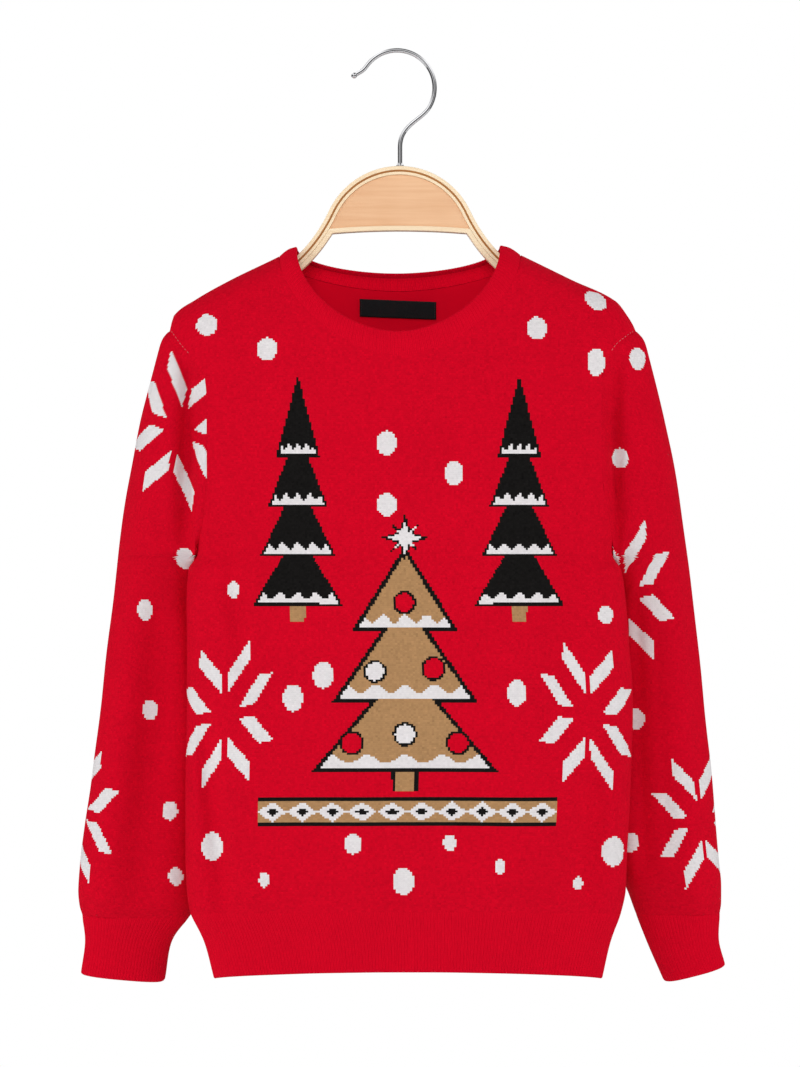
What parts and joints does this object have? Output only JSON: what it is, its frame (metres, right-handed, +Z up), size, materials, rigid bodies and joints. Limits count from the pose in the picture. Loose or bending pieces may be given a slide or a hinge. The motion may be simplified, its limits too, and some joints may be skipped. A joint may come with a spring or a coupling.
{
  "type": "christmas sweater on wooden hanger",
  "caption": "Long-sleeved crew-neck pullover in patterned knit with ribbed neck, cuffs and hem, hanging open on a bent wooden hanger by its wire hook.",
  "frame": {"origin": "inner top of the hook, where it rests on a rail", "axes": "+Z up, +X to the viewer's right when looking at the sweater's front, -Y towards the viewer"},
  "size_m": [0.4611, 0.1105, 0.6585],
  "materials": {
    "red_knit": "fine plain knit, matte, red with white, tan and black figures",
    "red_rib": "1x1 rib knit, matte",
    "label_weave": "woven, smooth",
    "pale_wood": "bent laminated wood, satin varnish",
    "tan_wood": "wood panel, satin varnish",
    "hook_steel": "polished wire"
  },
  "bodies": {
    "root": {"front_panel": "red_knit", "back_panel": "red_knit", "sleeve_left": "red_knit", "sleeve_right": "red_knit", "neckband": "red_rib", "hem_rib_front": "red_rib", "hem_rib_back": "red_rib", "cuff_left": "red_rib", "cuff_right": "red_rib", "neck_label": "label_weave", "hanger_bow": "pale_wood", "hanger_rail": "pale_wood", "hanger_panel": "tan_wood", "hook": "hook_steel", "hook_collar": "hook_steel"}
  },
  "joints": []
}
